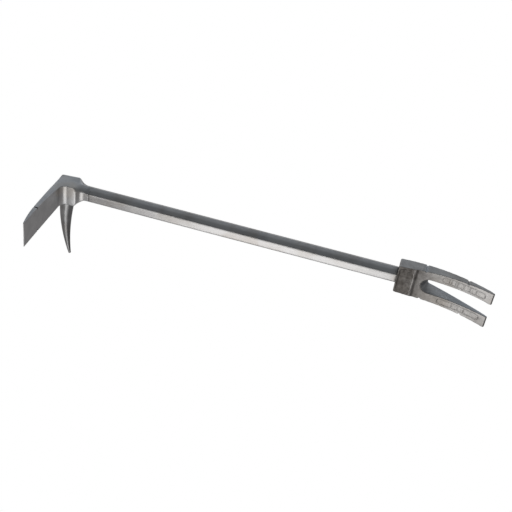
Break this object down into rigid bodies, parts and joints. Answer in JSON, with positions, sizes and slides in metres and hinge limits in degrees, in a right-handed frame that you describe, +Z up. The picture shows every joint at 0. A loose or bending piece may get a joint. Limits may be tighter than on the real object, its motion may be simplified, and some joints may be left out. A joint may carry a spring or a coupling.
{
  "type": "halligan bar",
  "caption": "Forcible-entry bar: an adze and a curved pick at right angles on one end of a hexagonal steel bar, a curved fork on the other.",
  "frame": {"origin": "on the flat striking face on top of the head, in line with the column that stands over the pick", "axes": "+X along the bar from the head to the fork, the adze reaches towards -Y, the pick points towards -Z, +Z is up"},
  "size_m": [0.766, 0.1689, 0.1743],
  "materials": {
    "bar_steel": "drawn hexagonal bar, satin with fine marks along its length",
    "forged_steel": "forged and blasted, satin, brighter on the ground column and fillets",
    "pick_steel": "ground smooth, slightly blued",
    "cast_steel": "as-cast and tumbled, rough and brownish on the socket, brighter on the tines",
    "spring_steel": "dark spring steel",
    "pin_steel": "plain ground pin"
  },
  "bodies": {
    "root": {"shaft": "bar_steel", "adze_head": "forged_steel", "pick": "pick_steel", "fork_head": "cast_steel", "head_roll_pins": "spring_steel", "fork_roll_pins": "spring_steel", "pick_lock_pin": "pin_steel"}
  },
  "joints": []
}
